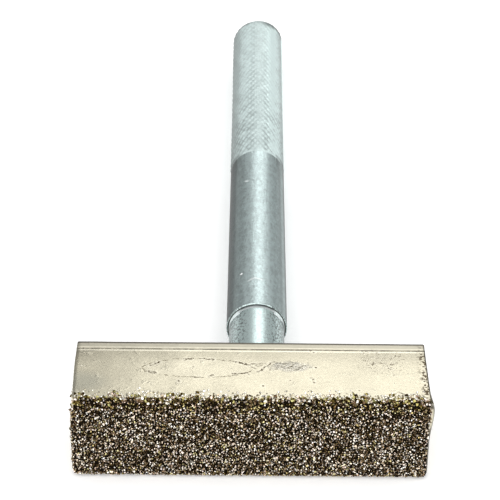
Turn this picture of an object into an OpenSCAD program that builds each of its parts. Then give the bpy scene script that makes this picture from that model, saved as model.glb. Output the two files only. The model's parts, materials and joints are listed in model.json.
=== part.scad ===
// T-shaped diamond dresser for truing grinding wheels. A plated steel bar carries a layer of
// diamond grit on its front face, and a round steel handle with a knurled grip is pressed into
// its back. The dresser lies on the flat of the bar: X runs along the bar, Y from the grit to
// the end of the handle, and Z up. The origin is under the middle of the whole tool.

/* [Head bar] */
// Length of the bar, across the wheel
bar_w = 45; // [30:0.5:70]
// Depth of the bar along the handle, grit included
bar_d = 13.6; // [12:0.1:22]
// Thickness of the bar
bar_h = 11.4; // [10:0.1:20]
// Flat on the broken edges of the bar
edge_break = 0.35; // [0.1:0.05:0.8]
// Distance from the back of the bar to the line left by the plating mask
mask_line_inset = 1.4; // [1:0.1:2.5]
// Width of the mask line
mask_line_w = 0.2; // [0.1:0.05:0.4]
// Depth of the mask line
mask_line_depth = 0.1; // [0.05:0.01:0.2]

/* [Diamond grit] */
// Thickness of the bonded grit over the steel
grit_t = 0.6; // [0.5:0.05:1]
// How far the grit reaches back round the edges of the bar
grit_wrap = 1.6; // [1.2:0.1:3]
// Radius of the grit round the front edges
grit_edge_r = 0.7; // [0.4:0.05:0.9]
// Distance between grains
grain_pitch = 0.8; // [0.7:0.05:1.5]
// Height of the largest grains over the bond
grain_h = 0.28; // [0.1:0.01:0.35]
// Number that picks the pattern of the grains
grain_seed = 11; // [1:1:99]

/* [Handle] */
// Diameter of the plain shank
shank_d = 8.3; // [8:0.1:9.5]
// Length of the plain shank
shank_len = 43.8; // [20:0.1:80]
// Diameter of the neck that enters the bar
neck_d = 7.5; // [5:0.1:7.8]
// Length of the neck between the bar and the shoulder
neck_len = 12; // [3:0.1:25]
// Chamfer on the edge of the shoulder
shoulder_chamfer = 0.15; // [0.05:0.05:0.3]
// Sideways distance of the handle from the middle of the bar
handle_offset = 0.8; // [-3:0.1:3]

/* [Knurled grip] */
// Length of the knurled grip
knurl_len = 49.8; // [20:0.1:60]
// Number of ridges in each direction
knurl_starts = 28; // [18:1:36]
// Distance along the grip between diamonds
knurl_pitch = 1.75; // [1.5:0.05:3]
// Depth of the grooves below the shank
knurl_depth = 0.15; // [0.05:0.01:0.4]
// Height of the diamonds above the shank
knurl_rise = 0.08; // [0:0.01:0.09]
// Chamfer on the end of the handle
end_chamfer = 0.7; // [0.4:0.05:1.2]

/* [Press fit] */
// Length of the neck inside the bar
spigot_len = 8.5; // [4:0.1:10]
// Chamfer on the tip of the spigot
spigot_chamfer = 0.4; // [0.2:0.05:1]
// Gap between the spigot and its socket
fit_clearance = 0.02; // [0.01:0.01:0.05]
// Point angle of the drill that made the socket
drill_point = 118; // [90:1:140]

/* [Hidden] */

$fn = 96;
// How far a shape runs past a face that it cuts or joins
overcut = 1;

overall_len = bar_d + neck_len + shank_len + knurl_len;
front_y = -overall_len / 2;
back_y = front_y + bar_d;
axis_z = bar_h / 2;
shank_r = shank_d / 2;
neck_r = neck_d / 2;

// Sets a shape that is drawn along +Z on the handle's axis, with its foot at y
module on_handle_axis(y) {
    translate([handle_offset, y, axis_z]) rotate([-90, 0, 0]) children();
}

// Sets a flat shape, drawn with its own Y down, upright at y, and gives it depth
module upright(y, depth) {
    translate([0, y, axis_z]) rotate([-90, 0, 0]) linear_extrude(depth) children();
}

// Rectangle centred on its own middle, with its corners cut off
module broken_rectangle(w, h, cut) {
    difference() {
        square([w, h], center = true);
        for (side = [-1, 1], end = [-1, 1])
            translate([side * w / 2, end * h / 2]) rotate(45) square(sqrt(2) * cut, center = true);
    }
}

// The bar behind the grit. Its front edges stay sharp where the grit meets them.
body_front_y = front_y + grit_wrap;

module bar_body() {
    middle_y = back_y - bar_d / 2;
    intersection() {
        upright(body_front_y, bar_d - grit_wrap) broken_rectangle(bar_w, bar_h, edge_break);
        translate([0, middle_y, 0]) linear_extrude(bar_h) broken_rectangle(bar_w, bar_d, edge_break);
        translate([-bar_w / 2, middle_y, axis_z]) rotate([90, 0, 90])
            linear_extrude(bar_w) broken_rectangle(bar_d, bar_h, edge_break);
    }
}

// The smaller nose of the bar, which the grit is bonded to
module bar_nose() {
    translate([-bar_w / 2 + grit_t, front_y + grit_t, grit_t])
        cube([bar_w - 2 * grit_t, grit_wrap - grit_t + overcut, bar_h - 2 * grit_t]);
}

// Blind hole for the handle's spigot, with the cone that the drill leaves
module socket() {
    socket_r = neck_r + fit_clearance;
    point_h = socket_r / tan(drill_point / 2);
    on_handle_axis(back_y - spigot_len) {
        cylinder(h = spigot_len + overcut, r = socket_r);
        translate([0, 0, -point_h]) cylinder(h = point_h, r1 = 0, r2 = socket_r);
    }
}

// Shallow line round the bar where the plating mask ended
module mask_line() {
    upright(back_y - mask_line_inset - mask_line_w / 2, mask_line_w) difference() {
        square([bar_w + overcut, bar_h + overcut], center = true);
        square([bar_w - 2 * mask_line_depth, bar_h - 2 * mask_line_depth], center = true);
    }
}

module head_bar() {
    color("gainsboro") difference() {
        union() {
            bar_body();
            bar_nose();
        }
        socket();
        mask_line();
    }
}

// The grit is a cap over the nose, covered with small pyramids that stand for its grains. Its skin
// is a grid over the front, rings that turn back round the edges, and a flat back. A rough cell has
// four low corners in the bond and one peak, and a recess is measured inwards from the tips of the
// largest grains.
grain_columns = round((bar_w - 2 * grit_edge_r) / grain_pitch);
grain_rows = round((bar_h - 2 * grit_edge_r) / grain_pitch);
front_count = (grain_columns + 1) * (grain_rows + 1);
cell_count = grain_columns * grain_rows;

// Corners of the outline, counted round from its lower left corner, and the count of the whole round
lower_right = grain_columns;
upper_right = lower_right + grain_rows;
upper_left = upper_right + grain_columns;
outline_count = upper_left + grain_rows;

// Each ring has its inset from the sides of the bar, its depth behind the front and the turn of its face
rings = [
    for (turn = [0, 45, 90]) [grit_edge_r * (1 - sin(turn)), grit_edge_r * (1 - cos(turn)), turn],
    [grain_h, grit_wrap, 90]
];
last_ring = len(rings) - 1;

// Shares of the grain height that the bond and the peaks lie at, and how far a peak strays in its cell
bond_recess = [0.7, 1];
peak_recess = [0, 0.55];
peak_stray = 0.28;

chance = rands(0, 1, 3 * (front_count + cell_count + 2 * last_ring * outline_count), grain_seed);
function between(range, share) = range[0] + (range[1] - range[0]) * share;
function bond_depth(n) = grain_h * between(bond_recess, chance[n]);
function peak_depth(n) = grain_h * between(peak_recess, chance[n]);
function stray(n) = peak_stray * (2 * chance[n] - 1);

// Points of the skin, on the front and on a ring, measured from the middle of the bar's front
function front_point(column, row, recess) = [
    (bar_w - 2 * grit_edge_r) * (column / grain_columns - 0.5),
    recess,
    (bar_h - 2 * grit_edge_r) * (row / grain_rows - 0.5)
];
function outline_point(count, inset) =
    let (w = bar_w - 2 * inset, h = bar_h - 2 * inset)
    count <= lower_right ? [w * (count / grain_columns - 0.5), -h / 2]
    : count <= upper_right ? [w / 2, h * ((count - lower_right) / grain_rows - 0.5)]
    : count <= upper_left ? [w * (0.5 - (count - upper_right) / grain_columns), h / 2]
    : [-w / 2, h * (0.5 - (count - upper_left) / grain_rows)];
function ring_point(ring, count, recess) =
    let (place = outline_point(count, ring[0] + recess * sin(ring[2])))
    [place[0], ring[1] + recess * cos(ring[2]), place[1]];

// Numbers of the points, in the order that the cap lists them
function front_id(column, row) = column * (grain_rows + 1) + row;
function peak_id(column, row) = front_count + column * grain_rows + row;
function front_edge_id(count) =
    count < lower_right ? front_id(count, 0)
    : count < upper_right ? front_id(grain_columns, count - lower_right)
    : count < upper_left ? front_id(upper_left - count, grain_rows)
    : front_id(0, outline_count - count);
function ring_id(ring, count) =
    let (place = count % outline_count)
    ring == 0 ? front_edge_id(place) : front_count + cell_count + (ring - 1) * outline_count + place;
function band_peak_id(band, count) = ring_id(last_ring + 1 + band, count);

// Corners of a cell, clockwise from outside: on the front, and on the band that follows a ring
function front_cell(c, r) = [front_id(c, r), front_id(c, r + 1), front_id(c + 1, r + 1), front_id(c + 1, r)];
function band_cell(ring, count) = [
    ring_id(ring, count), ring_id(ring, count + 1), ring_id(ring + 1, count + 1), ring_id(ring + 1, count)
];
function pyramid(corners, peak) = [for (side = [0:3]) [corners[side], corners[(side + 1) % 4], peak]];

module grit_cap() {
    columns = [0:grain_columns - 1];
    rows = [0:grain_rows - 1];
    outline = [0:outline_count - 1];
    bands = [0:last_ring - 1];
    points = concat(
        [for (c = [0:grain_columns], r = [0:grain_rows]) front_point(c, r, bond_depth(front_id(c, r)))],
        [
            for (c = columns, r = rows)
                let (n = 3 * peak_id(c, r))
                front_point(c + 0.5 + stray(n), r + 0.5 + stray(n + 1), peak_depth(n + 2))
        ],
        [
            for (ring = [1:last_ring], n = outline)
                ring_point(rings[ring], n, ring < last_ring ? bond_depth(ring_id(ring, n)) : 0)
        ],
        [
            for (band = bands, count = outline)
                let (n = 2 * (band * outline_count + count))
                ring_point((rings[band] + rings[band + 1]) / 2, count + 0.5 + stray(n), peak_depth(n + 1))
        ]
    );
    rough_faces = concat(
        [for (c = columns, r = rows) each pyramid(front_cell(c, r), peak_id(c, r))],
        [for (band = bands, n = outline) each pyramid(band_cell(band, n), band_peak_id(band, n))]
    );
    // The flat back is strips from the lower to the upper edge, and a fan at each end
    back_strips = [for (c = [1:grain_columns - 2]) [c, c + 1, upper_left - c - 1, upper_left - c]];
    back_fans = [
        for (corner = [lower_right, upper_left], n = [corner:corner + grain_rows]) [corner - 1, n, n + 1]
    ];
    back_faces = [for (face = concat(back_strips, back_fans)) [for (n = face) ring_id(last_ring, n)]];
    translate([0, front_y, axis_z]) polyhedron(points, concat(rough_faces, back_faces));
}

module diamond_grit() {
    color("dimgray") difference() {
        grit_cap();
        bar_nose();
    }
}

// Diamond knurl: a tube of points in which groove crossings and diamond peaks take turns
knurl_columns = 2 * knurl_starts;
knurl_rows = 2 * round(knurl_len / knurl_pitch);

function knurl_r(column, row) =
    row == knurl_rows ? shank_r - end_chamfer
    : row > 0 && (column + row) % 2 == 1 ? shank_r + knurl_rise
    : shank_r - knurl_depth;
function knurl_point(column, row) =
    let (r = knurl_r(column, row), angle = 360 * column / knurl_columns)
    [r * cos(angle), r * sin(angle), knurl_len * row / knurl_rows];
function knurl_id(column, row) = row * knurl_columns + (column + knurl_columns) % knurl_columns;

// The half of a diamond above or below its peak, which has the way up as 1 or -1
function half_diamond(column, row, way) = [
    [knurl_id(column - way, row), knurl_id(column, row + way), knurl_id(column, row)],
    [knurl_id(column, row + way), knurl_id(column + way, row), knurl_id(column, row)]
];

module knurled_grip() {
    points = [for (row = [0:knurl_rows], column = [0:knurl_columns - 1]) knurl_point(column, row)];
    sides = [
        for (row = [0:knurl_rows], column = [0:knurl_columns - 1])
            if ((column + row) % 2 == 1)
                each concat(
                    row < knurl_rows ? half_diamond(column, row, 1) : [],
                    row > 0 ? half_diamond(column, row, -1) : []
                )
    ];
    foot = [for (column = [0:knurl_columns - 1]) knurl_id(column, 0)];
    end = [for (column = [knurl_columns - 1:-1:0]) knurl_id(column, knurl_rows)];
    polyhedron(points, concat(sides, [foot, end]));
}

module handle() {
    shoulder = spigot_len + neck_len;
    grip_start = shoulder + shank_len;
    color("lightslategray") on_handle_axis(back_y - spigot_len) {
        rotate_extrude() polygon([
            [0, 0],
            [neck_r - spigot_chamfer, 0],
            [neck_r, spigot_chamfer],
            [neck_r, shoulder],
            [shank_r - shoulder_chamfer, shoulder],
            [shank_r, shoulder + shoulder_chamfer],
            [shank_r, grip_start],
            [0, grip_start]
        ]);
        translate([0, 0, grip_start]) knurled_grip();
    }
}

head_bar();
diamond_grit();
handle();
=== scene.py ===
import json
import math

import bmesh
import bpy
from mathutils import Matrix, Vector, noise


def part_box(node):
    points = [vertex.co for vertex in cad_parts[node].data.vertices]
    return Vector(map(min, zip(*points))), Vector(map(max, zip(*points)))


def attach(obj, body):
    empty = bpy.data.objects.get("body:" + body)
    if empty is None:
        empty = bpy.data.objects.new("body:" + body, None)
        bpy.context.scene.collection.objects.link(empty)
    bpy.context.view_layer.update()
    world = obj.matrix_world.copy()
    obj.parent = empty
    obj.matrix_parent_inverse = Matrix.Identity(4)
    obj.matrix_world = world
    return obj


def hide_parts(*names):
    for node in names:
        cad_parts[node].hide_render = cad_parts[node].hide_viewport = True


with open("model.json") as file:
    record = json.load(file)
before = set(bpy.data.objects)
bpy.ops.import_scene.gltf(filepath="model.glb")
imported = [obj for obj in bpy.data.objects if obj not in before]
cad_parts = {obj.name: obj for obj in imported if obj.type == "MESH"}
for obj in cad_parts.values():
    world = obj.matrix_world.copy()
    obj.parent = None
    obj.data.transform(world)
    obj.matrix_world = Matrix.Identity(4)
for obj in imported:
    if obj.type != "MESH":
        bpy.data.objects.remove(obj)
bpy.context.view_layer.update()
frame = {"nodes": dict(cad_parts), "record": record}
record = frame["record"]
mm = 0.001
scene = bpy.context.scene
scene.view_settings.view_transform = "Standard"
print("frame loaded, nodes:", sorted(frame["nodes"]))

# places that every piece is set from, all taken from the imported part
gritLow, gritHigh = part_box("diamond_grit")
barLow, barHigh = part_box("head_bar")
rodLow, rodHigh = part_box("handle")
shankMount = next(mount for mount in record["mounts"] if mount["name"] == "handle_shank")
axisX, axisZ = shankMount["pos_m"][0], shankMount["pos_m"][2]
shankRadius = shankMount["dims"]["r_mm"] * mm
shankHalf = shankMount["dims"]["length_mm"] * mm / 2
shankStart = shankMount["pos_m"][1] - shankHalf
shankEnd = shankMount["pos_m"][1] + shankHalf
frontY, wrapY = gritLow.y, gritHigh.y
# the plated back of the bar stands a little behind the solid's, and a fine mask line runs before it
backGrowth = 0.35 * mm
maskInset = 1.75 * mm
backY = barHigh.y + backGrowth
maskLineY = backY - maskInset
# half length, top and back of the bar in the millimetres that finishes are drawn in
halfMm, topMm, backMm = barHigh.x / mm, barHigh.z / mm, backY / mm
# the range that most of a noise falls in, and the one that nearly all of it does
noiseRange, wideRange = (0.3, 0.7), (0.2, 0.8)


# small helpers for node trees, used by shaders and geometry alike
def feed(tree, socket, value):
    if isinstance(value, bpy.types.NodeSocket):
        tree.links.new(value, socket)
    else:
        socket.default_value = value


def addNode(tree, kind, inputs=None, **settings):
    node = tree.nodes.new(kind)
    for key, value in settings.items():
        setattr(node, key, value)
    for key, value in (inputs or {}).items():
        feed(tree, node.inputs[key], value)
    return node


def calc(tree, operation, *values):
    return addNode(tree, "ShaderNodeMath", dict(enumerate(values)), operation=operation).outputs[0]


def times(tree, first, *others):
    for other in others:
        first = calc(tree, "MULTIPLY", first, other)
    return first


# distance of a value from a place
def apartFrom(tree, value, place):
    return calc(tree, "ABSOLUTE", calc(tree, "SUBTRACT", value, place))


def vectorCalc(tree, operation, *values):
    node = addNode(tree, "ShaderNodeVectorMath", dict(enumerate(values)), operation=operation)
    return node.outputs["Value" if operation in ("LENGTH", "DOT_PRODUCT") else "Vector"]


def scaled(tree, vector, amount):
    inputs = {0: vector, "Scale": amount}
    return addNode(tree, "ShaderNodeVectorMath", inputs, operation="SCALE").outputs["Vector"]


def splitPlace(tree, place):
    return addNode(tree, "ShaderNodeSeparateXYZ", {"Vector": place}).outputs


def remap(tree, value, low, high, outLow=0.0, outHigh=1.0, smooth=True):
    ends = {"Value": value, "From Min": low, "From Max": high, "To Min": outLow, "To Max": outHigh}
    kind = "SMOOTHSTEP" if smooth else "LINEAR"
    return addNode(tree, "ShaderNodeMapRange", ends, interpolation_type=kind).outputs["Result"]


def mixColor(tree, share, first, second, blend="MIX"):
    inputs = {"Factor": share, 6: first, 7: second}
    return addNode(tree, "ShaderNodeMix", inputs, data_type="RGBA", blend_type=blend).outputs[2]


def mixValue(tree, share, first, second):
    return remap(tree, share, 0.0, 1.0, first, second, False)


def noiseField(tree, place, scale, detail=3.0, rough=0.55, warp=0.0):
    inputs = {"Vector": place, "Scale": scale, "Detail": detail, "Roughness": rough, "Distortion": warp}
    return addNode(tree, "ShaderNodeTexNoise", inputs).outputs["Fac"]


# a value that a mesh carries
def keptValue(tree, name):
    return addNode(tree, "ShaderNodeAttribute", attribute_name=name).outputs["Fac"]


def grey(value):
    return (value, value, value, 1.0)


def openGroup(name, kind, inputs, outputs):
    tree = bpy.data.node_groups.new(name, kind)
    for way, sockets in (("INPUT", inputs), ("OUTPUT", outputs)):
        for title, socketKind in sockets:
            tree.interface.new_socket(name=title, in_out=way, socket_type="NodeSocket" + socketKind)
    return tree, tree.nodes.new("NodeGroupInput").outputs, tree.nodes.new("NodeGroupOutput").inputs


def placeGroup(tree, group, **values):
    return addNode(tree, "ShaderNodeGroup", values, node_tree=group).outputs


def newMaterial(name):
    material = bpy.data.materials.new(name)
    material.use_nodes = True
    tree = material.node_tree
    return material, tree, tree.nodes["Principled BSDF"]


def finishShader(tree, shader, values):
    for key, value in values.items():
        feed(tree, shader.inputs[key], value)


# the piece's own place in millimetres, which every finish is drawn in
def placeInMm(tree, stretch=(1, 1, 1)):
    coords = tree.nodes.new("ShaderNodeTexCoord").outputs["Object"]
    inputs = {"Vector": coords, "Scale": [part / mm for part in stretch]}
    return addNode(tree, "ShaderNodeMapping", inputs).outputs["Vector"]


def turnedPlace(tree, place, turn, stretch):
    inputs = {"Vector": place, "Rotation": (0, 0, turn), "Scale": stretch}
    return addNode(tree, "ShaderNodeMapping", inputs).outputs["Vector"]


def newPiece(name, mesh, materials=()):
    piece = bpy.data.objects.new(name, mesh)
    scene.collection.objects.link(piece)
    for material in materials:
        mesh.materials.append(material)
    return piece


def meshFrom(name, shape):
    mesh = bpy.data.meshes.new(name)
    shape.to_mesh(mesh)
    shape.free()
    return mesh


# turns the result of a geometry tree into a plain mesh on the same object
def bakeTree(piece, tree, values):
    sockets = {item.name: item.identifier for item in tree.interface.items_tree if item.in_out == "INPUT"}
    modifier = piece.modifiers.new(tree.name, "NODES")
    modifier.node_group = tree
    for key, value in values.items():
        modifier[sockets[key]] = value
    piece.update_tag()
    depsgraph = bpy.context.evaluated_depsgraph_get()
    evaluated = piece.evaluated_get(depsgraph)
    mesh = bpy.data.meshes.new_from_object(evaluated, preserve_all_data_layers=True, depsgraph=depsgraph)
    piece.modifiers.remove(modifier)
    mesh.name = piece.name
    piece.data = mesh
    return piece


# camera of the photograph, found from the outline of the bar and the handle
cameraSet = {
    "place": (-0.105 * mm, frontY - 183.264 * mm, 144.839 * mm),
    "pitch": 31.207,
    "yaw": -0.03,
    "roll": 0.504,
    "focalPixels": 1832.76,
    "imagePixels": 500,
    "sensor": 36.0,
    "nearest": 0.01,
}


def makeCamera(s):
    data = bpy.data.cameras.new("camera")
    data.sensor_width = s["sensor"]
    data.lens = s["focalPixels"] / s["imagePixels"] * s["sensor"]
    data.clip_start = s["nearest"]
    camera = bpy.data.objects.new("camera", data)
    scene.collection.objects.link(camera)
    tilt = Matrix.Rotation(math.radians(90 - s["pitch"]), 4, "X")
    turn = Matrix.Rotation(math.radians(-s["yaw"]), 4, "Z")
    roll = Matrix.Rotation(math.radians(s["roll"]), 4, "Z")
    camera.matrix_world = Matrix.Translation(s["place"]) @ turn @ tilt @ roll
    scene.camera = camera
    print("camera set, lens", round(data.lens, 2))


makeCamera(cameraSet)

# pale floor, soft lights and a grey surround
stageSet = {
    "floorSize": 8.0,
    "floorGap": 0.02 * mm,
    "floorColor": 0.9,
    "floorRough": 0.9,
    "floorLift": 0.22,
    "surround": 0.34,
    "lamps": {
        "backLow": {"turn": 4, "rise": 19.5, "far": 1.0, "wide": 0.40, "tall": 0.25, "bright": 1.6},
        "backHigh": {"turn": 8.4, "rise": 46, "far": 1.0, "wide": 0.42, "tall": 0.5, "bright": 1.4},
        "topKey": {"turn": 200, "rise": 82, "far": 1.0, "wide": 1.4, "tall": 1.4, "bright": 1.1},
        "frontFill": {"turn": 190, "rise": 32, "far": 1.1, "wide": 2.6, "tall": 1.2, "bright": 1.3},
        "rightFill": {"turn": 80, "rise": 38, "far": 1.0, "wide": 0.4, "tall": 0.4, "bright": 1.5},
    },
}


def makeFloor(s):
    shape = bmesh.new()
    bmesh.ops.create_grid(shape, x_segments=1, y_segments=1, size=s["floorSize"] / 2)
    material, tree, shader = newMaterial("paleFloor")
    path = tree.nodes.new("ShaderNodeLightPath").outputs
    seen = calc(tree, "MAXIMUM", path["Is Camera Ray"], path["Is Glossy Ray"])
    seen = calc(tree, "MAXIMUM", seen, path["Is Transmission Ray"])
    finishShader(tree, shader, {
        "Base Color": grey(s["floorColor"]),
        "Roughness": s["floorRough"],
        "Specular IOR Level": 0.0,
        "Emission Color": grey(1.0),
        "Emission Strength": calc(tree, "MULTIPLY", seen, s["floorLift"]),
    })
    floor = newPiece("floor", meshFrom("floor", shape), [material])
    floor.location.z = -s["floorGap"]


def makeLamp(name, s, target):
    data = bpy.data.lights.new(name, "AREA")
    data.shape = "RECTANGLE"
    data.size, data.size_y = s["wide"], s["tall"]
    data.energy = s["bright"] * math.pi * s["wide"] * s["tall"]
    lamp = bpy.data.objects.new(name, data)
    scene.collection.objects.link(lamp)
    turn, rise = math.radians(s["turn"]), math.radians(s["rise"])
    away = Vector((math.sin(turn) * math.cos(rise), math.cos(turn) * math.cos(rise), math.sin(rise)))
    lamp.location = target + s["far"] * away
    lamp.rotation_euler = away.to_track_quat("Z", "Y").to_euler()


def makeStage(s):
    makeFloor(s)
    for name, lamp in s["lamps"].items():
        makeLamp(name, lamp, Vector((0, barHigh.y, axisZ)))
    world = bpy.data.worlds.new("surround")
    world.use_nodes = True
    world.node_tree.nodes["Background"].inputs["Color"].default_value = grey(s["surround"])
    scene.world = world
    print("stage and lamps set")


makeStage(stageSet)

# soft blotches and fine specks of a plated surface, as a tone around one and a height for bump
plateSet = {
    "blotch": {"detail": 4.0, "rough": 0.6},
    "speck": {"detail": 2.0, "rough": 0.7},
    "blotchShare": 0.6,
    "speckShare": 0.4,
    "fleckScale": 1.4,
    "fleckLimits": (0.57, 0.68),
}


def makePlateGroup(s):
    inputs = [("Place", "Vector")] + [(name, "Float") for name in ("Blotch", "Speck", "Contrast", "Fleck")]
    outputs = (("Tone", "Float"), ("Height", "Float"))
    tree, given, out = openGroup("plateTexture", "ShaderNodeTree", inputs, outputs)
    place = given["Place"]
    blotch = remap(tree, noiseField(tree, place, given["Blotch"], **s["blotch"]), *noiseRange, -1.0, 1.0)
    speck = remap(tree, noiseField(tree, place, given["Speck"], **s["speck"]), *noiseRange, -1.0, 1.0)
    both = calc(tree, "MULTIPLY_ADD", speck, s["speckShare"], times(tree, blotch, s["blotchShare"]))
    fine = noiseField(tree, place, times(tree, given["Speck"], s["fleckScale"]), detail=1.0)
    fleck = remap(tree, fine, *s["fleckLimits"])
    base = calc(tree, "MULTIPLY_ADD", fleck, given["Fleck"], 1.0)
    feed(tree, out["Tone"], calc(tree, "MULTIPLY_ADD", both, given["Contrast"], base))
    feed(tree, out["Height"], speck)
    return tree


# a small mark: one inside an ellipsoid round a place, falling to nothing at its edge
def makeMarkGroup():
    inputs = (("Place", "Vector"), ("Centre", "Vector"), ("Reach", "Vector"), ("Soft", "Float"))
    tree, given, out = openGroup("mark", "ShaderNodeTree", inputs, (("Mask", "Float"),))
    apart = vectorCalc(tree, "SUBTRACT", given["Place"], given["Centre"])
    distance = vectorCalc(tree, "LENGTH", vectorCalc(tree, "DIVIDE", apart, given["Reach"]))
    inner = calc(tree, "SUBTRACT", 1.0, given["Soft"])
    feed(tree, out["Mask"], remap(tree, distance, inner, 1.0, 1.0, 0.0))
    return tree


# a stroke: one along a line between two places, and a halo beside it, both in widths from the line
strokeShape = {"core": (0.4, 1.0), "halo": (1.2, 2.6), "shortest": 1e-6}


def makeStrokeGroup(s):
    inputs = (("Place", "Vector"), ("Start", "Vector"), ("End", "Vector"), ("Width", "Float"))
    tree, given, out = openGroup("stroke", "ShaderNodeTree", inputs, (("Mask", "Float"), ("Halo", "Float")))
    along = vectorCalc(tree, "SUBTRACT", given["End"], given["Start"])
    off = vectorCalc(tree, "SUBTRACT", given["Place"], given["Start"])
    square = calc(tree, "MAXIMUM", vectorCalc(tree, "DOT_PRODUCT", along, along), s["shortest"])
    share = calc(tree, "DIVIDE", vectorCalc(tree, "DOT_PRODUCT", off, along), square)
    nearest = scaled(tree, along, remap(tree, share, 0.0, 1.0, smooth=False))
    distance = vectorCalc(tree, "LENGTH", vectorCalc(tree, "SUBTRACT", off, nearest))
    far = calc(tree, "DIVIDE", distance, given["Width"])
    feed(tree, out["Mask"], remap(tree, far, *s["core"], 1.0, 0.0))
    feed(tree, out["Halo"], remap(tree, far, *s["halo"], 1.0, 0.0))
    return tree


plateGroup = makePlateGroup(plateSet)
markGroup = makeMarkGroup()
strokeGroup = makeStrokeGroup(strokeShape)


def rampFrom(tree, value, stops):
    ramp = addNode(tree, "ShaderNodeValToRGB", {"Fac": value})
    given = ramp.color_ramp.elements
    for stop, (spot, color) in zip([given[0], given[1]] + [given.new(0.5) for _ in stops[2:]], stops):
        stop.position = spot
        stop.color = color
    return ramp.outputs["Color"]


def toneColor(tree, color, tone):
    shade = addNode(tree, "ShaderNodeCombineColor", {"Red": tone, "Green": tone, "Blue": tone})
    return mixColor(tree, 1.0, color, shade.outputs["Color"], "MULTIPLY")


def bumpFrom(tree, height, strength, distance, below=None):
    inputs = {"Height": height, "Strength": strength, "Distance": distance}
    if below is not None:
        inputs["Normal"] = below
    return addNode(tree, "ShaderNodeBump", inputs).outputs["Normal"]


# zinc plating on the turned handle, with a tone for each part of its width from left to right that is painted
# light and shade: darker flanks and bright highlight bands
zincSet = {
    "shank": {
        "color": (0.60, 0.71, 0.705, 1), "rough": 0.31, "edge": 0.6, "metal": 1.0, "bump": 0.2,
        "blotch": 1.6, "speck": 3.6, "contrast": 0.22, "calm": 1.0, "fleck": 0.22,
        "stretch": (1, 0.5, 1), "speckSize": 0.03 * mm,
        "sides": (
            (-1.0, 0.07), (-0.9, 0.08), (-0.8, 0.24), (-0.65, 0.76), (-0.5, 1.0), (-0.35, 1.32),
            (-0.1, 1.02), (0.25, 0.97), (0.4, 1.4), (0.55, 1.22), (0.7, 0.77), (0.82, 0.45),
            (0.9, 0.7), (0.95, 0.5), (0.98, 0.12), (1.0, 0.08),
        ),
    },
    "neck": {
        "color": (0.66, 0.79, 0.775, 1), "rough": 0.3, "edge": 0.8, "metal": 1.0, "bump": 0.08,
        "blotch": 4.4, "speck": 4.6, "contrast": 1.1, "calm": 0.2, "fleck": 0.8,
        "stretch": (1, 0.55, 1), "speckSize": 0.03 * mm,
        "sides": (
            (-1.0, 0.28), (-0.85, 0.36), (-0.74, 0.48), (-0.62, 0.84), (-0.5, 1.1), (-0.35, 1.2),
            (-0.2, 1.3), (-0.05, 1.08), (0.1, 1.14), (0.25, 1.0), (0.4, 1.4), (0.5, 1.25),
            (0.6, 0.9), (0.7, 0.58), (0.8, 0.46), (1.0, 0.34),
        ),
    },
    "grip": {
        "color": (0.80, 0.94, 0.925, 1), "rough": 0.45, "edge": 0.9, "metal": 0.6, "bump": 0.15,
        "blotch": 0.7, "speck": 2.4, "contrast": 0.14, "calm": 1.0, "fleck": 0.1,
        "stretch": (1, 0.6, 1), "speckSize": 0.03 * mm,
        "sides": (
            (-1.0, 0.30), (-0.9, 0.35), (-0.8, 0.55), (-0.65, 0.83), (-0.5, 0.92), (-0.35, 0.86),
            (-0.2, 0.68), (-0.05, 0.63), (0.1, 0.63), (0.3, 0.74), (0.45, 1.04), (0.55, 1.17),
            (0.7, 1.12), (0.82, 0.88), (0.9, 0.65), (1.0, 0.42),
        ),
    },
    # the shoulder finish is white and matt, a painted reflection for the bright crescents beside the
    # shoulder, with painted shade at its silhouette edges
    "shoulder": {
        "color": (0.91, 1.0, 1.0, 1), "rough": 0.4, "edge": 0.9, "metal": 0.0, "bump": 0.05,
        "blotch": 2.0, "speck": 3.0, "contrast": 0.1, "calm": 1.0, "fleck": 0.0,
        "stretch": (1, 1, 1), "speckSize": 0.02 * mm,
        "sides": ((-1.0, 0.3), (-0.92, 0.5), (-0.84, 1.0), (0.84, 1.0), (0.92, 0.5), (1.0, 0.3)),
    },
}
# fine lines left by turning, and the part of the width, in millimetres, over which the plating calms
turnSet = {
    "stretch": (0.3, 9.0, 0.3), "soft": 0.6, "smoother": 0.02, "rougher": 0.04,
    "bump": 0.05, "depth": 0.01 * mm, "calmReach": (0.8, 2.4),
}
# bright nicks and a scratch on the shank: both ends, half width and strength, in millimetres
nickSet = (
    ((-1.0, 0.8, 9.45), (-0.6, 0.6, 9.58), 0.28, 0.5),
    ((-1.45, -25.5, 9.25), (-1.4, -25.5, 9.26), 0.28, 1.0),
    ((-0.6, -28.1, 9.75), (0.5, -27.4, 9.84), 0.18, 0.6),
    ((0.5, -27.4, 9.84), (1.5, -27.9, 9.8), 0.18, 0.6),
)
nickColor = (0.95, 0.98, 0.97, 1)


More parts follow.
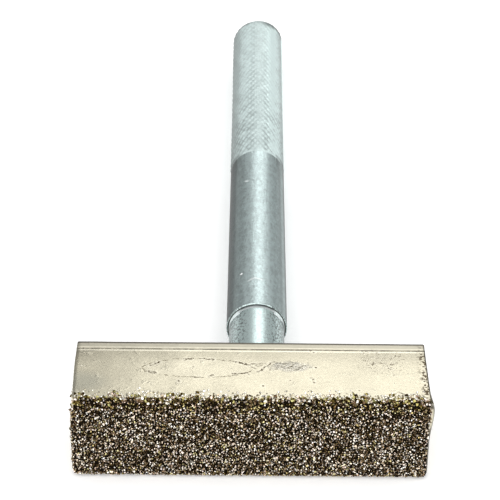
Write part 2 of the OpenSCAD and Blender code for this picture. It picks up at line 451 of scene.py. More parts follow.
def zincPlate(part, s, turn):
    material, tree, shader = newMaterial("zinc" + part.capitalize())
    place = placeInMm(tree)
    across = splitPlace(tree, place)["X"]
    # the plating is calmer along the middle, where it mirrors most
    aside = apartFrom(tree, across, axisX / mm)
    plate = placeGroup(
        tree, plateGroup, Place=placeInMm(tree, s["stretch"]), Blotch=s["blotch"], Speck=s["speck"],
        Contrast=remap(tree, aside, *turn["calmReach"], s["contrast"] * s["calm"], s["contrast"]),
        Fleck=s["fleck"],
    )
    turned = noiseField(tree, placeInMm(tree, turn["stretch"]), scale=1.0, rough=turn["soft"])
    # painted light and shade: the tone changes from the left side over the top to the right side
    share = remap(tree, across, (axisX - shankRadius) / mm, (axisX + shankRadius) / mm, smooth=False)
    most = max(tone for _, tone in s["sides"])
    sides = rampFrom(tree, share, [((spot + 1) / 2, grey(tone / most)) for spot, tone in s["sides"]])
    # the mesh carries painted light and shade: in the knurl's grooves, at the tip, where the neck meets the
    # bar and about the shoulder
    tone = times(tree, plate["Tone"], keptValue(tree, "paintedLightTone"), sides, most)
    # the colour stops at its own fullest tone, so that bright places keep their hue
    brightest = [channel / max(s["color"][:3]) for channel in s["color"][:3]]
    color = vectorCalc(tree, "MINIMUM", toneColor(tree, s["color"], tone), brightest)
    metal = s["metal"]
    if part == "shank":
        nicks = 0.0
        for start, end, width, strength in nickSet:
            mask = placeGroup(tree, strokeGroup, Place=place, Start=start, End=end, Width=width)["Mask"]
            nicks = calc(tree, "MAXIMUM", nicks, times(tree, mask, strength))
        color = mixColor(tree, nicks, color, nickColor)
        metal = calc(tree, "SUBTRACT", 1.0, nicks)
    rough = s["rough"]
    lines = bumpFrom(tree, turned, turn["bump"], turn["depth"])
    finishShader(tree, shader, {
        "Base Color": color,
        "Roughness": remap(tree, turned, *noiseRange, rough - turn["smoother"], rough + turn["rougher"]),
        "Metallic": metal,
        "Specular Tint": grey(s["edge"]),
        "Normal": bumpFrom(tree, plate["Height"], s["bump"], s["speckSize"], lines),
    })
    return material


# warm nickel plating on the bar, with the marks that its top face carries, placed in millimetres
nickelSet = {
    "color": (0.65, 0.605, 0.465, 1),
    # the foil's folds are painted from this shade to the foil colour on their lit side
    "foldShade": (0.42, 0.37, 0.27, 1),
    # colour of dark marks, also laid as painted shade in the foil's creases
    "dirtAndShade": (0.06, 0.034, 0.008, 1),
    "pale": (0.81, 0.765, 0.625, 1),
    "strip": (0.53, 0.50, 0.41, 1),
    "foil": (0.92, 0.91, 0.88, 1),
    "stain": (0.40, 0.41, 0.35, 1),
    # colour of the painted shade in the mask line's groove, along the outer edges and on the rim of the grit
    # face
    "edge": (0.06, 0.052, 0.035, 1),
    "rough": 0.24, "rougher": 0.05, "smoother": 0.04, "sheenTones": (0.9, 1.1), "stripRough": 0.33,
    "stretch": (1, 0.55, 1), "blotch": 0.15, "speck": 3.6, "fleck": 0.04,
    "contrast": (0.15, 0.06), "contrastReach": (-20.0, 2.0),
    "satinTurn": 0.7, "satinStretch": (2.4, 4.2, 3.0), "satinTones": (0.955, 1.04),
    "satinBump": 0.22, "satinDepth": 0.02 * mm,
    "backTone": 0.8, "backReach": 6.0, "stainShare": 0.4,
    "topReach": (topMm - 0.3, topMm - 0.1),
}
# patches on the top face: centre and reach
patchSet = {
    "wrinkles": {"Centre": (5.1, -51.2, topMm), "Reach": (3.6, 1.6, 2.5)},
    "tick": {"Centre": (-21.4, -51.3, topMm), "Reach": (0.5, 0.12, 0.5)},
    "stain": {"Centre": (-21.3, -54.9, topMm), "Reach": (4.4, 3.0, 3.0)},
    "scratches": {"Centre": (16.9, -49.9, topMm), "Reach": (4.4, 3.6, 3.0)},
}
patchSoft = 0.7
# dark strokes on the top face: both ends in millimetres, and strength
strokeSet = (
    (-12.8, -51.2, -11.5, -50.3, 0.95), (-8.5, -49.8, -7.6, -49.6, 0.8), (-6.2, -49.6, -4.8, -49.7, 0.85),
    (-1.8, -50.2, -0.1, -50.9, 0.95), (-12.8, -52.4, -11.9, -52.7, 0.8), (-6.9, -53.7, -6.4, -53.5, 0.7),
    (-5.2, -53.4, -4.7, -53.2, 0.8), (-2.2, -52.7, -0.8, -52.7, 0.85), (1.3, -52.1, 2.6, -50.3, 0.95),
    (2.6, -50.3, 3.0, -50.3, 0.7), (4.7, -51.5, 5.5, -50.8, 0.9), (3.1, -51.8, 3.6, -51.0, 0.5),
    (4.0, -51.2, 4.4, -51.8, 0.5), (-0.6, -52.6, -0.2, -53.0, 0.5), (0.1, -50.6, 0.5, -50.6, 0.7),
    (0.2, -51.3, 0.7, -51.6, 0.6), (0.8, -50.6, 1.9, -50.5, 0.45), (3.0, -50.3, 4.6, -50.5, 0.55),
    (5.6, -51.9, 6.6, -51.2, 0.65), (0.9, -51.2, 1.5, -50.8, 0.5), (0.9, -52.3, 1.6, -51.9, 0.5),
    (7.7, -53.4, 8.1, -54.8, 0.4), (14.3, -47.6, 14.6, -48.0, 0.9), (14.8, -47.5, 15.0, -47.8, 0.8),
    (17.6, -51.3, 17.9, -51.6, 0.6), (17.9, -57.0, 18.5, -56.4, 0.6), (18.5, -56.4, 19.3, -57.1, 0.6),
)
# pits: place in millimetres, and strength
pitSet = (
    (-9.0, -54.5, 0.9), (1.6, -55.4, 0.85), (5.0, -54.2, 0.4), (-7.3, -51.3, 0.4), (2.5, -51.9, 0.4),
    (0.7, -50.9, 0.5), (7.7, -47.6, 0.8), (8.1, -47.9, 0.8), (8.3, -51.3, 0.9), (7.9, -53.9, 0.7),
    (8.0, -54.6, 0.7), (16.2, -47.8, 0.9), (18.1, -52.8, 0.4), (13.6, -56.2, 0.5), (-21.6, -47.4, 0.9),
    (22.0, -50.9, 0.9), (22.3, -51.3, 0.9), (22.0, -52.1, 0.9), (21.7, -53.4, 0.9), (21.9, -54.1, 0.9),
    (22.3, -55.1, 0.9),
)
# how strokes and pits are drawn: half widths, a pale lip, a wavering course and gaps
drawSet = {
    "stroke": 0.19, "pit": 0.21, "lip": 0.5, "waver": 0.9, "waverScale": 1.5,
    "dashScale": 4.0, "dashLimits": (0.42, 0.52), "dashLeast": 0.3,
}
# broken outline of an oval, with paler plating inside it
ovalSet = {
    "centre": (-6.75, -51.6), "half": (6.9, 2.05), "line": (0.03, 0.15), "strength": 0.9,
    "wobbleScale": 1.1, "wobble": 0.25, "gapScale": 1.9, "gapLimits": (0.44, 0.54),
    "inside": 0.5, "insideShare": 0.12,
}
# a patch that is crinkled like foil
foilSet = {
    "turn": 0.6, "stretch": (1.3, 3.2, 0.3), "soft": 0.6, "warp": 1.2,
    "raggedScale": 0.9, "ragged": 0.3, "edge": (0.1, 0.9), "limits": (0.34, 0.52), "share": 0.32,
    "crease": 0.03, "creaseStrength": 0.42, "bump": 0.6, "depth": 0.25 * mm,
}
# scratches with a dark course and a pale one beside it, and specks along the right edge
scratchSet = {
    "scale": 1.3, "warp": 1.5, "dark": 0.85, "darkWidth": 0.04,
    "pale": 0.9, "paleAt": 0.045, "paleWidth": 0.02,
    "speckScale": 2.6, "speckLimits": (0.5, 0.58), "speckReach": (halfMm - 1.5, halfMm - 0.5), "speck": 0.9,
}
# the mask line has painted shade in its groove between two lips with painted highlights, and the strip behind
# it is dull
maskSet = {
    "strip": (-0.05, 0.1), "stripReach": (0.5, 1.0), "stripShares": (0.35, 0.75),
    "lipAt": 0.36, "lipWidth": (0.08, 0.2), "lip": 0.75,
    "grooveWidth": (0.06, 0.17), "groove": 0.8, "shadeKeptLimits": (0.35, 0.55), "shadeKept": 0.4,
}
# painted shade along the back edge and both ends of the top: where they start and end, and strength
outlineSet = {
    "back": (backMm - 0.65, backMm - 0.35, 0.0, 0.95),
    "right": (halfMm - 0.3, halfMm - 0.08, 0.0, 0.7),
    "left": (0.06 - halfMm, 0.2 - halfMm, 0.5, 0.0),
    "height": (topMm - 0.6, topMm - 0.3),
}


# distance from the outline of the oval, wobbling a little: less than nothing inside it
def ovalDistance(tree, x, y, wobble, s):
    shares = [
        calc(tree, "DIVIDE", calc(tree, "SUBTRACT", value, centre), half)
        for value, centre, half in zip((x, y), s["centre"], s["half"])
    ]
    slopes = [calc(tree, "DIVIDE", share, half) for share, half in zip(shares, s["half"])]
    square, steep = (
        calc(tree, "ADD", *(times(tree, part, part) for part in pair)) for pair in (shares, slopes)
    )
    slope = times(tree, calc(tree, "SQRT", steep), 2.0)
    apart = calc(tree, "DIVIDE", calc(tree, "SUBTRACT", square, 1.0), slope)
    return calc(tree, "ADD", apart, remap(tree, wobble, *wideRange, -s["wobble"], s["wobble"], False))


# darkness and pale lips of the strokes and pits
def drawMarks(tree, place, dashes, s):
    shake = addNode(tree, "ShaderNodeTexNoise", {"Vector": place, "Scale": s["waverScale"], "Detail": 3.0})
    shift = vectorCalc(tree, "SUBTRACT", shake.outputs["Color"], (0.5, 0.5, 0.5))
    wavering = vectorCalc(tree, "MULTIPLY_ADD", shift, (s["waver"], s["waver"], 0.0), place)
    marks = [((a, b), (c, d), s["stroke"], strength, wavering, dashes) for a, b, c, d, strength in strokeSet]
    marks += [((a, b), (a, b), s["pit"], strength, place, 1.0) for a, b, strength in pitSet]
    dark = lip = 0.0
    for start, end, width, strength, drawnIn, gaps in marks:
        ends = {"Start": (*start, topMm), "End": (*end, topMm)}
        stroke = placeGroup(tree, strokeGroup, Place=drawnIn, Width=width, **ends)
        dark = calc(tree, "MAXIMUM", dark, times(tree, stroke["Mask"], gaps, strength))
        lip = calc(tree, "MAXIMUM", lip, times(tree, stroke["Halo"], s["lip"] * strength))
    return dark, lip


def nickelPlate(s, draw, oval, foil, scratch, mask, outline):
    material, tree, shader = newMaterial("nickelPlate")
    place = placeInMm(tree)
    x, y, z = splitPlace(tree, place)
    onTop = remap(tree, z, *s["topReach"])

    def within(name):
        return placeGroup(tree, markGroup, Place=place, Soft=patchSoft, **patchSet[name])["Mask"]

    def lay(color, share, other):
        return mixColor(tree, share, color, s[other])

    # satin plating, duller towards the back and stained at the left
    plate = placeGroup(
        tree, plateGroup, Place=placeInMm(tree, s["stretch"]), Blotch=s["blotch"], Speck=s["speck"],
        Contrast=remap(tree, x, *s["contrastReach"], *s["contrast"]), Fleck=s["fleck"],
    )
    satin = turnedPlace(tree, place, s["satinTurn"], s["satinStretch"])
    satin = noiseField(tree, satin, scale=1.0, detail=2.0, rough=0.6)
    tone = times(tree, plate["Tone"], remap(tree, satin, *noiseRange, *s["satinTones"]))
    color = toneColor(tree, s["color"], tone)
    duller = remap(tree, y, maskLineY / mm, backMm - s["backReach"], s["backTone"], 1.0)
    color = toneColor(tree, color, duller)
    color = lay(color, times(tree, within("stain"), s["stainShare"]), "stain")

    # crinkled patch, with painted light and shade on its folds and painted shade in its creases
    crumple = turnedPlace(tree, place, foil["turn"], foil["stretch"])
    fold = noiseField(tree, crumple, scale=1.0, rough=foil["soft"], warp=foil["warp"])
    uneven = noiseField(tree, place, foil["raggedScale"])
    ragged = remap(tree, uneven, *wideRange, -foil["ragged"], foil["ragged"])
    wrinkled = remap(tree, calc(tree, "ADD", within("wrinkles"), ragged), *foil["edge"])
    shade = mixColor(tree, remap(tree, fold, *foil["limits"]), s["foldShade"], s["foil"])
    color = mixColor(tree, times(tree, wrinkled, foil["share"]), color, shade)
    crease = remap(tree, apartFrom(tree, fold, 0.5), 0.0, foil["crease"], foil["creaseStrength"], 0.0)
    dark = times(tree, crease, wrinkled)

    # oval
    wobble = noiseField(tree, place, oval["wobbleScale"])
    apart = ovalDistance(tree, x, y, wobble, oval)
    dashes = noiseField(tree, place, draw["dashScale"], detail=1.0)
    dashes = remap(tree, dashes, *draw["dashLimits"], draw["dashLeast"], 1.0)
    gaps = remap(tree, noiseField(tree, place, oval["gapScale"], detail=2.0), *oval["gapLimits"])
    line = remap(tree, calc(tree, "ABSOLUTE", apart), *oval["line"], oval["strength"], 0.0)
    dark = calc(tree, "MAXIMUM", times(tree, line, gaps, dashes), dark)
    inside = remap(tree, apart, -oval["inside"], 0.0, oval["insideShare"], 0.0)
    color = lay(color, times(tree, inside, onTop), "pale")

    # strokes and pits, scratches, and specks along the right edge
    drawn, lip = drawMarks(tree, place, dashes, draw)
    dark = calc(tree, "MAXIMUM", dark, drawn)
    color = lay(color, times(tree, lip, onTop), "pale")
    course = noiseField(tree, place, scratch["scale"], detail=1.0, rough=0.5, warp=scratch["warp"])
    course = apartFrom(tree, course, 0.5)
    beside = apartFrom(tree, course, scratch["paleAt"])
    paleLine = remap(tree, beside, 0.0, scratch["paleWidth"], scratch["pale"], 0.0)
    color = lay(color, times(tree, paleLine, within("scratches")), "pale")
    line = remap(tree, course, 0.0, scratch["darkWidth"], scratch["dark"], 0.0)
    dark = calc(tree, "MAXIMUM", dark, times(tree, line, within("scratches")))
    specks = noiseField(tree, place, scratch["speckScale"], detail=1.0)
    specks = remap(tree, specks, *scratch["speckLimits"])
    byEnd = remap(tree, x, *scratch["speckReach"], 0.0, scratch["speck"])
    dark = times(tree, calc(tree, "MAXIMUM", dark, times(tree, specks, byEnd)), onTop)
    # dark marks, and the painted shade in the foil's creases
    color = lay(color, dark, "dirtAndShade")
    color = lay(color, within("tick"), "pale")

    # mask line, with painted highlights on its lips and painted shade in its groove, and the strip behind it
    off = calc(tree, "SUBTRACT", y, maskLineY / mm)
    gap = calc(tree, "ABSOLUTE", off)
    strip = remap(tree, off, *mask["strip"])
    dull = remap(tree, off, *mask["stripReach"], *mask["stripShares"])
    color = lay(color, times(tree, strip, dull), "strip")
    lipHighlight = remap(tree, apartFrom(tree, gap, mask["lipAt"]), *mask["lipWidth"], mask["lip"], 0.0)
    color = lay(color, lipHighlight, "pale")
    groove = remap(tree, gap, *mask["grooveWidth"], mask["groove"], 0.0)
    shadeKept = remap(tree, wobble, *mask["shadeKeptLimits"], mask["shadeKept"], 1.0)
    color = lay(color, times(tree, groove, shadeKept), "edge")

    # painted shade along the outer edges, and on the rim of the grit face
    outer = calc(tree, "MAXIMUM", remap(tree, x, *outline["right"]), remap(tree, x, *outline["left"]))
    outer = calc(tree, "MAXIMUM", remap(tree, y, *outline["back"]), outer)
    outer = times(tree, outer, remap(tree, z, *outline["height"]))
    color = lay(color, calc(tree, "MAXIMUM", outer, keptValue(tree, "rimShade")), "edge")

    rough, smooth = s["rough"] + s["rougher"], s["rough"] - s["smoother"]
    sheen = remap(tree, plate["Tone"], *s["sheenTones"], rough, smooth)
    bumps = bumpFrom(tree, satin, s["satinBump"], s["satinDepth"])
    finishShader(tree, shader, {
        "Base Color": color,
        "Roughness": mixValue(tree, strip, sheen, s["stripRough"]),
        "Metallic": calc(tree, "SUBTRACT", 1.0, dark),
        "Specular IOR Level": 0.0,
        "Normal": bumpFrom(tree, times(tree, fold, wrinkled), foil["bump"], foil["depth"], bumps),
    })
    return material


# diamond grains: a tone that is partly painted light and shade for each facet and partly the grain's own, and
# a tint for each grain; the bright end of the ramp is painted glints
grainSet = {
    "tones": (
        (0.00, (0.002, 0.001, 0.000, 1)),
        (0.48, (0.003, 0.001, 0.000, 1)),
        (0.51, (0.240, 0.165, 0.085, 1)),
        (0.54, (0.960, 0.785, 0.590, 1)),
        (0.66, (1.000, 0.930, 0.785, 1)),
    ),
    "facetShare": 0.55,
    "ownShare": 0.45,
    "olive": (0.72, 0.69, 0.40, 1),
    "oliveFrom": 0.87,
    "oliveBlend": 0.04,
    "violet": (0.99, 0.92, 0.95, 1),
    "violetReach": (0.16, 0.2),
    "upperEdge": (topMm - 1.5, topMm - 0.4),
    "lowerEdge": (0.3, 1.1),
    "edgeShade": 0.04,
    "edgeOlive": 0.35,
    "rough": 0.22,
    "metal": 0.8,
    "edge": 0.1,
}
edgeGrainSet = dict(grainSet, olive=(0.50, 0.49, 0.22, 1), oliveFrom=0.75, edgeShade=0.0)


def gritGrain(name, s):
    material, tree, shader = newMaterial(name)
    own = times(tree, keptValue(tree, "grainTone"), s["ownShare"])
    tone = calc(tree, "MULTIPLY_ADD", keptValue(tree, "facetPaintedLight"), s["facetShare"], own)
    tint = keptValue(tree, "grainTint")
    # darker and more olive by the upper and lower edges
    height = splitPlace(tree, placeInMm(tree))["Z"]
    upper, lower = remap(tree, height, *s["upperEdge"]), remap(tree, height, *s["lowerEdge"], 1.0, 0.0)
    byEdge = calc(tree, "MAXIMUM", upper, lower)
    tone = calc(tree, "MULTIPLY_ADD", byEdge, -s["edgeShade"], tone)
    olive = calc(tree, "MULTIPLY_ADD", byEdge, s["edgeOlive"], tint)
    olive = remap(tree, olive, s["oliveFrom"], s["oliveFrom"] + s["oliveBlend"])
    violet = remap(tree, tint, *s["violetReach"], 1.0, 0.0)
    color = mixColor(tree, olive, rampFrom(tree, tone, s["tones"]), s["olive"], "MULTIPLY")
    finishShader(tree, shader, {
        "Base Color": mixColor(tree, violet, color, s["violet"], "MULTIPLY"),
        "Roughness": s["rough"],
        "Metallic": s["metal"],
        "Specular IOR Level": 0.0,
        "Specular Tint": grey(s["edge"]),
    })
    return material


# grains that the plating has covered: pale, with painted shade on some facets
coveredSet = {
    "dark": (0.30, 0.26, 0.18, 1), "pale": (0.97, 0.94, 0.86, 1), "limits": (0.15, 0.4), "rough": 0.25,
}


def platedGrain(s):
    material, tree, shader = newMaterial("platedGrain")
    share = remap(tree, keptValue(tree, "facetPaintedLight"), *s["limits"])
    color = mixColor(tree, share, s["dark"], s["pale"])
    finishShader(tree, shader, {"Base Color": color, "Roughness": s["rough"], "Metallic": 1.0})
    return material


# bond between the grains, painted near black as the shade that falls between them
bondSet = {
    "deep": (0.003, 0.002, 0.001, 1), "lighterShade": (0.014, 0.010, 0.006, 1), "scale": 2.5, "rough": 0.7,
    "bump": 0.5, "depth": 0.1 * mm,
}


def bondPaintedShade(s):
    material, tree, shader = newMaterial("bondPaintedShade")
    dirtAndShade = noiseField(tree, placeInMm(tree), s["scale"])
    finishShader(tree, shader, {
        "Base Color": mixColor(tree, dirtAndShade, s["deep"], s["lighterShade"]),
        "Roughness": s["rough"],
        "Specular IOR Level": 0.0,
        "Normal": bumpFrom(tree, dirtAndShade, s["bump"], s["depth"]),
    })
    return material


nickel = nickelPlate(nickelSet, drawSet, ovalSet, foilSet, scratchSet, maskSet, outlineSet)
zinc = {part: zincPlate(part, s, turnSet) for part, s in zincSet.items()}
grain = gritGrain("gritGrain", grainSet)
edgeGrain = gritGrain("edgeGrain", edgeGrainSet)
covered = platedGrain(coveredSet)
bond = bondPaintedShade(bondSet)
print("finishes made:", len(bpy.data.materials))


# steps along one side of a box: fine near both ends, where its edge is rounded, and even between
def sideSteps(low, high, radius, spacing, extra=(), fine=4, closest=0.05 * mm):
    ends = [radius * (1 - math.cos(math.pi / 2 * n / fine)) for n in range(fine + 1)]
    count = max(2, round((high - low - 2 * radius) / spacing))
    inner = [low + radius + (high - low - 2 * radius) * n / count for n in range(1, count)]
    inner = [step for step in inner if all(abs(step - other) > closest for other in extra)]
    return sorted([low + end for end in ends] + inner + list(extra) + [high - end for end in ends])


# closed box of quads with its edges rounded, apart from those round an open end
def roundedBox(low, high, radius, spacing, extra=(), openEnd=None):
    steps = [sideSteps(low[n], high[n], radius, spacing, extra if n == 1 else ()) for n in range(3)]
    shape = bmesh.new()
    corners = {}

    def corner(place):
        if place not in corners:
            corners[place] = shape.verts.new([steps[n][place[n]] for n in range(3)])
        return corners[place]

    for flat in range(3):
        across, up = (flat + 1) % 3, (flat + 2) % 3
        for end in (0, len(steps[flat]) - 1):
            for a in range(len(steps[across]) - 1):
                for b in range(len(steps[up]) - 1):
                    ring = []
                    for stepA, stepB in ((a, b), (a + 1, b), (a + 1, b + 1), (a, b + 1)):
                        place = [0, 0, 0]
                        place[flat], place[across], place[up] = end, stepA, stepB
                        ring.append(corner(tuple(place)))
                    shape.faces.new(ring if end else ring[::-1])
    coreLow, coreHigh = [part + radius for part in low], [part - radius for part in high]
    if openEnd == "front":
        coreLow[1] = low[1]
    if openEnd == "back":
        coreHigh[1] = high[1]
    for vert in shape.verts:
        core = Vector([min(max(vert.co[n], coreLow[n]), coreHigh[n]) for n in range(3)])
        away = vert.co - core
        if away.length > 0:
            vert.co = core + away.normalized() * min(radius, max(abs(part) for part in away))
    return shape


def fade(value, low, high):
    share = min(max((value - low) / (high - low), 0.0), 1.0)
    return share * share * (3 - 2 * share)


# the plating is built up into a swelling at the right front corner, and the left one leans in
swellSet = {
    "out": 0.42 * mm, "top": barHigh.z - 1.1 * mm, "above": 1.7 * mm, "below": 5.0 * mm,
    "front": 1.0 * mm, "back": 4.0 * mm, "side": 2.0 * mm,
    "lean": 0.26 * mm, "leanHeight": 4.0 * mm, "leanBack": 11.0 * mm,
}


def swellOut(place, s=swellSet):
    off, behind = place.z - s["top"], place.y - frontY
    swell = 1 - fade(abs(off), 0, s["above"] if off > 0 else s["below"])
    swell *= 1 - fade(behind, s["front"], s["back"])
    lean = fade(place.z, barHigh.z - s["leanHeight"], barHigh.z)
    lean *= 1 - fade(behind, s["front"], s["leanBack"])
    right, left = (fade(side * place.x, barHigh.x - s["side"], barHigh.x) for side in (1, -1))
    return s["out"] * swell * right + s["lean"] * lean * left


# head bar: rounded nickel block with the mask line round it and a slightly uneven surface
barFront = wrapY - 0.1 * mm
barSet = {
    "edge": 0.25 * mm,
    "spacing": 0.3 * mm,
    "lineStep": 0.07 * mm,
    "lineSteps": 6,
    "lineHalf": 0.12 * mm,
    "lineDepth": 0.07 * mm,
    "lipAt": 0.2 * mm,
    "lipHalf": 0.2 * mm,
    "lipHeight": 0.016 * mm,
    "wave": 0.015 * mm,
    "waveSize": 3.0 * mm,
    "skin": 0.9,  # share of the half size from which a point lies on the outside
}


def makeBar(s):
    low, high = Vector((barLow.x, barFront, barLow.z)), Vector((barHigh.x, backY, barHigh.z))
    extra = [maskLineY + n * s["lineStep"] for n in range(-s["lineSteps"], s["lineSteps"] + 1)]
    shape = roundedBox(low, high, s["edge"], s["spacing"], extra, "front")
    middle = (low + high) / 2
    half = (high - low) / 2
    for vert in shape.verts:
        off = vert.co - middle
        sides = Vector((off.x / half.x, 0, off.z / half.z))
        if max(abs(sides.x), abs(sides.z)) > s["skin"]:
            out = Vector((0, 0, math.copysign(1, sides.z)))
            if abs(sides.x) > abs(sides.z):
                out = Vector((math.copysign(1, sides.x), 0, 0))
            gap = abs(vert.co.y - maskLineY)
            drop = s["lineDepth"] * (1 - fade(gap, 0, s["lineHalf"]))
            drop -= s["lipHeight"] * (1 - fade(abs(gap - s["lipAt"]), 0, s["lipHalf"]))
            vert.co += out * (s["wave"] * noise.noise(vert.co / s["waveSize"]) - drop)
        vert.co.x += swellOut(vert.co)
    mesh = meshFrom("head_bar_plated", shape)
    mesh.shade_smooth()
    return newPiece("head_bar_plated", mesh, [nickel])


bar = makeBar(barSet)
print("bar made, faces:", len(bar.data.polygons))

# grit bed: the bond that the grains stand in, painted near black as shade, with a smooth plated rim at the
# right
bedSet = {
    "sink": 0.18 * mm,
    "topSink": 0.06 * mm,
    "endSink": 0.02 * mm,
    "edge": 0.7 * mm,
    "spacing": 0.35 * mm,
    "rough": 0.03 * mm,
    "roughSize": 0.4 * mm,
    "seed": 7,
    "rim": 0.2 * mm,
    "rimFade": (0.2 * mm, 0.05 * mm),
    "rimShade": 0.9,
    "rimOutline": (0.3 * mm, 0.05 * mm),
    "sliver": barHigh.z - 1.8 * mm,
    "sliverReach": (0.8 * mm, 2.2 * mm),
    "backSlack": 0.01 * mm,
    "backInside": 0.1 * mm,
}
# the left front corner has plating and no grains
cornerSet = {
    "left": (barHigh.x - 1.8 * mm, barHigh.x - 0.9 * mm),
    "height": (barHigh.z - 1.6 * mm, barHigh.z - 0.7 * mm),
    "behind": (frontY + 0.3 * mm, frontY + 0.8 * mm),
}


def bareCorner(place, s=cornerSet):
    return fade(-place.x, *s["left"]) * fade(place.z, *s["height"]) * fade(place.y, *s["behind"])


def makeBed(s):
    noise.seed_set(s["seed"])
    low = Vector((barLow.x + s["sink"], frontY + s["sink"], barLow.z + s["sink"]))
    high = Vector((barHigh.x - s["endSink"], barFront, barHigh.z - s["topSink"]))
    shape = roundedBox(low, high, s["edge"], s["spacing"], (), "back")
    density = shape.verts.layers.float.new("grainDensity")
    darkness = shape.verts.layers.float.new("rimShade")
    rimX = high.x - s["rim"]
    for vert in shape.verts:
        # the plated right rim gets painted shade, all but a band at the height of the bright sliver
        outside = fade(vert.co.x, *(high.x - inset for inset in s["rimOutline"]))
        vert[darkness] = s["rimShade"] * max(outside, fade(abs(vert.co.z - s["sliver"]), *s["sliverReach"]))
        vert[density] = 1 - fade(vert.co.x, *(rimX - inset for inset in s["rimFade"]))
        vert[density] *= 1 - bareCorner(vert.co)
        inside = min(vert.co.x - low.x, vert.co.z - low.z, high.z - vert.co.z)
        if vert.co.y > barFront - s["backSlack"] and inside > s["backInside"]:
            vert[density] = 0
        if vert.co.x < rimX:
            vert.co += s["rough"] * noise.noise_vector(vert.co / s["roughSize"])
        vert.co.x += swellOut(vert.co)
    for face in shape.faces:
        middle = face.calc_center_median()
        face.material_index = 1 if middle.x > rimX or bareCorner(middle) > 0.5 else 0
    mesh = meshFrom("grit_bed", shape)
    mesh.shade_smooth()
    return newPiece("grit_bed", mesh, [bond, nickel])


def keepValue(tree, geometry, name, value, domain):
    inputs = {"Geometry": geometry, "Name": name, "Value": value}
    return addNode(
        tree, "GeometryNodeStoreNamedAttribute", inputs, data_type="FLOAT", domain=domain,
    ).outputs[0]


def setPosition(tree, geometry, **values):
    return addNode(tree, "GeometryNodeSetPosition", dict(values, Geometry=geometry)).outputs[0]


# grains scattered over a surface, each one a jittered crystal that is partly sunk in it
crystalSet = {"Segments": 4, "Rings": 3, "Radius": 1.0}
crystalStretch = {0: (0.8, 0.8, 0.8), 1: (1.25, 1.25, 1.25)}
mostGrains = 2.0e7  # for each square metre


def makeGrainTree():
    inputs = [("Geometry", "Geometry"), ("Seed", "Int"), ("Finish", "Material")]
    inputs += [(name, "Float") for name in ("Gap", "Smallest", "Largest", "Lift", "Jitter")]
    tree, given, out = openGroup("scatteredGrains", "GeometryNodeTree", inputs, (("Geometry", "Geometry"),))

    # a random value, each with the next seed
    def chance(step, kind="FLOAT", limits=None):
        seed = calc(tree, "ADD", given["Seed"], step)
        node = addNode(tree, "FunctionNodeRandomValue", limits, data_type=kind)
        feed(tree, node.inputs["Seed"], seed)
        return node.outputs[0 if kind == "FLOAT_VECTOR" else 1]

    density = addNode(tree, "GeometryNodeInputNamedAttribute", {"Name": "grainDensity"}, data_type="FLOAT")
    spread = addNode(tree, "GeometryNodeDistributePointsOnFaces", {
        "Mesh": given["Geometry"], "Distance Min": given["Gap"], "Density Max": mostGrains,
        "Density Factor": density.outputs["Attribute"], "Seed": given["Seed"],
    }, distribute_method="POISSON").outputs
    raised = setPosition(tree, spread["Points"], Offset=scaled(tree, spread["Normal"], given["Lift"]))
    size = chance(0, "FLOAT", {2: given["Smallest"], 3: given["Largest"]})
    stretch = chance(1, "FLOAT_VECTOR", crystalStretch)
    turn = chance(2, "FLOAT_VECTOR", {1: (math.tau, math.tau, math.tau)})
    crystal = addNode(tree, "GeometryNodeMeshUVSphere", crystalSet)
    placed = addNode(tree, "GeometryNodeInstanceOnPoints", {
        "Points": raised, "Instance": crystal.outputs["Mesh"],
        "Rotation": turn, "Scale": scaled(tree, stretch, size),
    }).outputs[0]
    named = keepValue(tree, placed, "grainTone", chance(3), "INSTANCE")
    named = keepValue(tree, named, "grainTint", chance(4), "INSTANCE")
    real = addNode(tree, "GeometryNodeRealizeInstances", {"Geometry": named}).outputs[0]
    spot = scaled(tree, addNode(tree, "GeometryNodeInputPosition").outputs[0], 1 / mm)
    shake = addNode(tree, "ShaderNodeTexWhiteNoise", {"Vector": spot}, noise_dimensions="3D").outputs["Color"]
    centred = vectorCalc(tree, "SUBTRACT", shake, (0.5, 0.5, 0.5))
    shaken = setPosition(tree, real, Offset=scaled(tree, centred, given["Jitter"]))
    # each facet gets a random painted light or shade, for the sparkle of the grains
    faceted = keepValue(tree, shaken, "facetPaintedLight", chance(5), "FACE")
    finished = addNode(tree, "GeometryNodeSetMaterial", {"Geometry": faceted, "Material": given["Finish"]})
    feed(tree, out["Geometry"], finished.outputs[0])
    return tree


# grains on the face, dark ones that stray on to the plating, small ones that are plated over, and those
# that stand along the top of the bed: sizes in millimetres, and a seed
grainSizes = {
    "face": {"Gap": 0.175, "Smallest": 0.085, "Largest": 0.155, "Lift": 0.05, "Jitter": 0.10, "Seed": 5},
    "dark": {"Gap": 0.34, "Smallest": 0.15, "Largest": 0.28, "Lift": 0.0, "Jitter": 0.12, "Seed": 21},
    "plated": {"Gap": 0.28, "Smallest": 0.11, "Largest": 0.20, "Lift": 0.0, "Jitter": 0.08, "Seed": 33},
    "rim": {"Gap": 0.36, "Smallest": 0.17, "Largest": 0.29, "Lift": 0.10, "Jitter": 0.12, "Seed": 47},
    "rimPlated": {"Gap": 0.32, "Smallest": 0.13, "Largest": 0.23, "Lift": 0.16, "Jitter": 0.10, "Seed": 58},
}
# how far grains stray behind the bar's front edge
straySet = {
    "dark": (0.3 * mm, 0.7 * mm), "plated": (0.4 * mm, 1.8 * mm),
    "ragged": 1.1 * mm, "raggedSize": 0.9 * mm, "skin": 0.3 * mm, "lowest": 1.0 * mm,
    "endShare": 0.15, "endReach": (0.3 * mm, 1.6 * mm),
}
